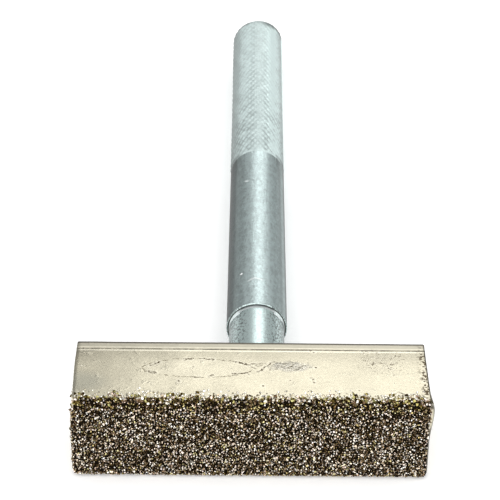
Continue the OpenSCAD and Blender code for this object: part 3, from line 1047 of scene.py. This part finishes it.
# patches of grains on the top of the bed, which is mostly plated at its left end
rimSet = {
    "rim": (-0.55, 0.0), "rimPlated": (0.05, 0.4), "patchSize": 0.7 * mm,
    "top": (barHigh.z - 0.6 * mm, barHigh.z - 0.2 * mm), "back": (frontY + 0.2 * mm, barFront - 0.3 * mm),
    "left": (barHigh.x - 4.0 * mm, barHigh.x - 1.5 * mm), "thinner": 0.7,
}
rightMargin = 0.5 * mm


def scatter(name, mesh, kind, finish):
    sizes = {key: size if key == "Seed" else size * mm for key, size in grainSizes[kind].items()}
    return bakeTree(newPiece(name, mesh), grainTree, dict(sizes, Finish=finish))


def scatterOn(name, source, density, kind, finish):
    mesh = source.data.copy()
    layer = mesh.attributes.get("grainDensity") or mesh.attributes.new("grainDensity", "FLOAT", "POINT")
    for vert, value in zip(mesh.vertices, layer.data):
        value.value = density(vert.co, kind) if vert.co.x < barHigh.x - rightMargin else 0.0
    return scatter(name, mesh, kind, finish)


def strayDensity(place, kind, s=straySet):
    back = place.y - barFront + s["ragged"] * noise.noise(place / s["raggedSize"])
    inside = min(place.x - barLow.x, barHigh.z - place.z)
    seen = inside < s["skin"] and place.z > s["lowest"]
    share = s["endShare"] + (1 - s["endShare"]) * fade(place.x - barLow.x, *s["endReach"])
    return share * (1 - fade(back, *s[kind])) if seen else 0.0


def rimDensity(place, kind, s=rimSet):
    patch = fade(noise.noise(place / s["patchSize"]), *s[kind])
    if kind == "rimPlated":
        patch = max(patch, fade(-place.x, *s["left"]))
    spread = fade(place.z, *s["top"]) * fade(place.y, *s["back"])
    return spread * patch * (1 - s["thinner"] * bareCorner(place))


bed = makeBed(bedSet)
grainTree = makeGrainTree()
grains = scatter("diamond_grains", bed.data.copy(), "face", grain)
strays = scatterOn("stray_grains", bar, strayDensity, "dark", edgeGrain)
platedGrains = scatterOn("plated_grains", bar, strayDensity, "plated", covered)
rimGrains = scatterOn("rim_grains", bed, rimDensity, "rim", edgeGrain)
rimPlated = scatterOn("rim_plated_grains", bed, rimDensity, "rimPlated", covered)
for piece in (grains, strays, platedGrains, rimGrains, rimPlated):
    print(piece.name, "faces:", len(piece.data.polygons))

# knurled grip: a tube whose height follows two crossing sets of ridges
knurlSet = {
    "Radius": shankRadius,
    "Length": rodHigh.y - shankEnd,
    "Starts": 28,
    "Pitches": 28,
    "Steps": 8,
    "Rise": (rodHigh.x - rodLow.x) / 2 - shankRadius,
    "Depth": 0.11 * mm,
    "Crest": 0.7,
    "Spread": 0.2,
    "Fade": 0.6 * mm,
    "Chamfer": 0.7 * mm,
    "Skew": 0.08,
    "Faint": 0.72,
    # how much of the painted groove shade fades towards the end, and how strong it is
    "ShadeFade": 0.6,
    "GrooveShade": 0.6,
    "Flare": 0.13 * mm,
    "Centre": (axisX, shankEnd, axisZ),
    "Finish": zinc["grip"],
}
# how the ridges blend, and where painted shade lies in their grooves and fades, as shares of the grip's
# length and width
knurlLook = {
    "sides": (-0.4, 0.4), "crestBlend": 0.12, "seamSlack": 1e-4, "ragScale": 3.0,
    "shadeFadeReach": (0.1, 0.6), "flareReach": (0.3, 1.0), "skewPower": 12.0,
    "middleReach": (0.1, 0.4), "middleShade": 0.5, "patchLength": 12.0, "patchScale": 2.2,
    "patchLimits": (0.35, 0.62), "patchTones": (0.45, 1.15), "crestHighlight": 1.15,
}


def makeKnurlTree(look):
    floats = (
        "Radius", "Length", "Rise", "Depth", "Crest", "Spread", "Fade", "Chamfer", "Skew", "Faint",
        "ShadeFade", "GrooveShade", "Flare",
    )
    inputs = [(name, "Float") for name in floats] + [(name, "Int") for name in ("Starts", "Pitches", "Steps")]
    inputs += [("Centre", "Vector"), ("Finish", "Material")]
    tree, given, out = openGroup("knurledGrip", "GeometryNodeTree", inputs, (("Geometry", "Geometry"),))

    def joined(x, y, z=0.0):
        return addNode(tree, "ShaderNodeCombineXYZ", {"X": x, "Y": y, "Z": z}).outputs[0]

    columns = calc(tree, "MULTIPLY_ADD", given["Starts"], given["Steps"], 1)
    rows = calc(tree, "MULTIPLY_ADD", given["Pitches"], given["Steps"], 1)
    size = {"Size X": 1.0, "Size Y": 1.0, "Vertices X": columns, "Vertices Y": rows}
    grid = addNode(tree, "GeometryNodeMeshGrid", size).outputs["Mesh"]
    spot = splitPlace(tree, addNode(tree, "GeometryNodeInputPosition").outputs[0])
    around, along = calc(tree, "ADD", spot["X"], 0.5), calc(tree, "ADD", spot["Y"], 0.5)
    turns, climbs = times(tree, around, given["Starts"]), times(tree, along, given["Pitches"])
    ways = (calc(tree, "ADD", turns, climbs), calc(tree, "SUBTRACT", turns, climbs))
    angle = times(tree, around, math.tau)
    cosine, sine = calc(tree, "COSINE", angle), calc(tree, "SINE", angle)
    # one set of ridges is fainter on each side of the grip
    faint = (
        remap(tree, cosine, *look["sides"], 1.0, given["Faint"]),
        remap(tree, cosine, *look["sides"], given["Faint"], 1.0),
    )
    ridges = []
    for way, weight in zip(ways, faint):
        valley = calc(tree, "SUBTRACT", 1.0, times(tree, calc(tree, "PINGPONG", way, 0.5), 2.0))
        ridges.append(calc(tree, "SUBTRACT", 1.0, times(tree, valley, weight)))
    peak = calc(tree, "MINIMUM", *ridges)
    # each diamond has its own height, numbered so that the seam agrees with itself
    floors = [calc(tree, "FLOOR", calc(tree, "ADD", way, look["seamSlack"])) for way in ways]
    lap = times(tree, given["Starts"], 2)
    number = joined(
        calc(tree, "SUBTRACT", *floors),
        calc(tree, "FLOORED_MODULO", calc(tree, "ADD", *floors), lap),
    )
    chance = addNode(tree, "ShaderNodeTexWhiteNoise", {"Vector": number}, noise_dimensions="3D")
    lowest = calc(tree, "SUBTRACT", 1.0, given["Spread"])
    own = mixValue(tree, chance.outputs["Value"], lowest, 1.0)
    crest = times(tree, calc(tree, "SMOOTH_MIN", peak, given["Crest"], look["crestBlend"]), own)
    groove = calc(tree, "SUBTRACT", given["Crest"], crest)
    reach = times(tree, along, given["Length"])
    # the knurl starts raggedly, and the end is chamfered
    rag = noiseField(tree, joined(cosine, sine), look["ragScale"], detail=2.0)
    start = times(tree, rag, given["Fade"])
    share = remap(tree, reach, start, calc(tree, "ADD", start, given["Fade"]))
    rise = calc(tree, "SUBTRACT", given["Rise"], times(tree, groove, given["Depth"]))
    flare = remap(tree, along, *look["flareReach"])
    plain = calc(tree, "MULTIPLY_ADD", flare, given["Flare"], given["Radius"])
    knurled = calc(tree, "MULTIPLY_ADD", rise, share, plain)
    toEnd = calc(tree, "SUBTRACT", given["Length"], reach)
    chamfered = calc(tree, "ADD", calc(tree, "SUBTRACT", plain, given["Chamfer"]), toEnd)
    radius = calc(tree, "MINIMUM", knurled, chamfered)
    # the end is cut a little out of square
    slant = times(tree, cosine, radius, given["Skew"], calc(tree, "POWER", along, look["skewPower"]))
    centre = splitPlace(tree, given["Centre"])
    point = joined(
        calc(tree, "MULTIPLY_ADD", radius, cosine, centre["X"]),
        calc(tree, "ADD", calc(tree, "ADD", reach, centre["Y"]), slant),
        calc(tree, "MULTIPLY_ADD", radius, sine, centre["Z"]),
    )
    # painted shade in the grooves, in patches, most beside the middle, where nothing is mirrored; the crests
    # are lifted a little as a painted highlight
    beside = remap(tree, calc(tree, "ABSOLUTE", cosine), *look["middleReach"], look["middleShade"], 1.0)
    patch = joined(cosine, sine, times(tree, along, look["patchLength"]))
    patch = noiseField(tree, patch, look["patchScale"], detail=2.0)
    beside = times(tree, beside, remap(tree, patch, *look["patchLimits"], *look["patchTones"]))
    shadeKept = calc(tree, "SUBTRACT", 1.0, times(tree, remap(tree, along, *look["shadeFadeReach"]), given["ShadeFade"]))
    grooveShade = times(tree, given["GrooveShade"], beside, shadeKept, share)
    shade = times(tree, calc(tree, "DIVIDE", groove, given["Crest"]), grooveShade)
    toned = keepValue(tree, grid, "paintedLightTone", calc(tree, "SUBTRACT", look["crestHighlight"], shade), "POINT")
    wrapped = setPosition(tree, toned, Position=point)
    real = addNode(tree, "GeometryNodeRealizeInstances", {"Geometry": wrapped}).outputs[0]
    finished = addNode(tree, "GeometryNodeSetMaterial", {"Geometry": real, "Material": given["Finish"]})
    feed(tree, out["Geometry"], finished.outputs[0])
    return tree


# painted shade: a darker tip, strongest on its flanks and reaching further back at the right of its top, and
# a darker start of the knurl on its flanks
gripToneSet = {
    "smearFrom": (0.1, 0.35), "smearTo": (0.6, 0.8), "tip": 0.3, "tipSides": 0.35, "tipSmear": 0.1,
    "tipSideReach": (0.2, 0.5), "tipReach": 2.0 * mm, "smearReach": 1.4 * mm, "tipFull": 1.0 * mm,
    "start": 0.5, "startReach": (0.4 * mm, 1.5 * mm), "startSides": (0.45, 0.8),
}
# turned part of the handle: spigot, neck, shoulder and shank
turnedSet = {
    "neckRadius": 3.75 * mm,
    "shoulder": 0.15 * mm,
    "chamfer": 0.4 * mm,
    # painted shade in a ring where the neck meets the bar, and along the shank's front edge a painted tone:
    # shade over the top, highlight at the sides
    "seam": (0.02 * mm, 0.18 * mm),
    "seamShade": 0.3,
    "edgeTones": (0.5, 1.4),
    "edgeReach": 0.12 * mm,
    "shankSteps": 8,
    "topReach": (0.66, 0.86),
    "slack": 0.01 * mm,
    "merge": 0.002 * mm,
    "sharp": 35,
}
# rows about the shoulder, in millimetres from the neck's radius and then from the shoulder's: radius, place,
# tone at the top and at the sides, painting shade over the top of the shoulder, and the heights, as shares
# of the radius, between which the ring that follows the row is bright with the white painted reflection
allRound, crescent, crescentEnd = (-1.0, 1.0), (0.4, 0.78), (0.55, 0.78)
neckRows = (
    (0, -0.85, 1, 1, None), (0, -0.75, 1, 1, crescentEnd), (0, -0.60, 1, 1, crescent),
    (0, -0.55, 1, 1, crescent), (0, -0.45, 0.6, 1.0, allRound), (0.02, 0, 0.3, 1.0, allRound),
)
shoulderRows = (
    (-0.15, 0, 0.08, 1.0, allRound), (-0.14, 0, 0.03, 0.03, allRound), (-0.01, 0, 0.03, 0.03, None),
    (0.02, 0.02, 0.5, 1.4, None),
)
handleFinishes = ("shank", "neck", "grip", "shoulder")


def turnedRows(s):
    neck, outer, shoulderY = s["neckRadius"], shankRadius - s["shoulder"], shankStart - s["shoulder"]
    seamStart, seamEnd = (backY + reach for reach in s["seam"])
    rows = [(neck - s["chamfer"], rodLow.y, 1, 1, None), (neck, rodLow.y + s["chamfer"], 1, 1, None)]
    rows += [(neck, seamStart, s["seamShade"], s["seamShade"], None), (neck, seamEnd, 1, 1, None)]
    for start, table in ((neck, neckRows), (outer, shoulderRows)):
        rows += [(start + out * mm, shoulderY + along * mm, *rest) for out, along, *rest in table]
    rows += [(shankRadius, shankStart, *s["edgeTones"], None)]
    rows += [(shankRadius, shankStart + s["edgeReach"], 1, 1, None)]
    steps = [(shankEnd - shankStart) * n / s["shankSteps"] for n in range(1, s["shankSteps"] + 1)]
    return rows + [(shankRadius, shankStart + step, 1, 1, None) for step in steps]


def toneGrip(shape, tone, s):
    for vert in shape.verts:
        side = (vert.co.x - axisX) / shankRadius
        smear = fade(side, *s["smearFrom"]) * (1 - fade(side, *s["smearTo"]))
        tip = s["tip"] + s["tipSides"] * fade(abs(side), *s["tipSideReach"]) + s["tipSmear"] * smear
        tipStart = rodHigh.y - s["tipReach"] - s["smearReach"] * smear
        vert[tone] *= 1 - tip * fade(vert.co.y, tipStart, rodHigh.y - s["tipFull"])
        early = 1 - fade(vert.co.y - shankEnd, *s["startReach"])
        vert[tone] *= 1 - s["start"] * early * fade(abs(side), *s["startSides"])


def makeHandle(s, knurl):
    grip = bakeTree(newPiece("handle_rod", bpy.data.meshes.new("grip")), makeKnurlTree(knurlLook), knurl)
    segments = knurl["Starts"] * knurl["Steps"]
    finish = {name: n for n, name in enumerate(handleFinishes)}
    rows = turnedRows(s)
    shape = bmesh.new()
    shape.from_mesh(grip.data)
    tone = shape.verts.layers.float["paintedLightTone"]
    toneGrip(shape, tone, gripToneSet)
    for face in shape.faces:
        face.material_index = finish["grip"]
    rings = []
    for radius, y, toneTop, toneSide, _ in rows:
        ring = []
        for n in range(segments):
            angle = math.tau * n / segments
            vert = shape.verts.new((axisX + radius * math.cos(angle), y, axisZ + radius * math.sin(angle)))
            vert[tone] = toneSide + (toneTop - toneSide) * fade(math.sin(angle), *s["topReach"])
            ring.append(vert)
        rings.append(ring)
    for n, (lower, upper) in enumerate(zip(rings, rings[1:])):
        plain = finish["neck" if rows[n + 1][1] < shankStart + s["slack"] else "shank"]
        bright = rows[n][4]
        for a in range(segments):
            b = (a + 1) % segments
            face = shape.faces.new((lower[a], lower[b], upper[b], upper[a]))
            height = math.sin(math.tau * (a + 0.5) / segments)
            shining = bright and bright[0] < height < bright[1]
            face.material_index = finish["shoulder"] if shining else plain
    shape.faces.new(rings[0]).material_index = finish["neck"]
    bmesh.ops.remove_doubles(shape, verts=shape.verts, dist=s["merge"])
    rim = [edge for edge in shape.edges if edge.is_boundary]
    for face in bmesh.ops.contextual_create(shape, geom=rim)["faces"]:
        face.material_index = finish["grip"]
    bmesh.ops.recalc_face_normals(shape, faces=shape.faces)
    mesh = meshFrom("handle_rod", shape)
    mesh.shade_smooth()
    mesh.set_sharp_from_angle(angle=math.radians(s["sharp"]))
    grip.data = mesh
    for part in handleFinishes:
        mesh.materials.append(zinc[part])
    return grip


handle = makeHandle(turnedSet, knurlSet)
print("handle made, faces:", len(handle.data.polygons))

# every piece rides on the one body and stands for its solid
pieces = (
    (bar, "head_bar", "nickel_plate"),
    (bed, "diamond_grit", "grit"),
    (grains, None, "grit"),
    (strays, None, "grit"),
    (platedGrains, None, "nickel_plate"),
    (rimGrains, None, "grit"),
    (rimPlated, None, "nickel_plate"),
    (handle, "handle", "zinc_plate"),
)
for piece, node, slot in pieces:
    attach(piece, "root")
    if node:
        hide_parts(node)
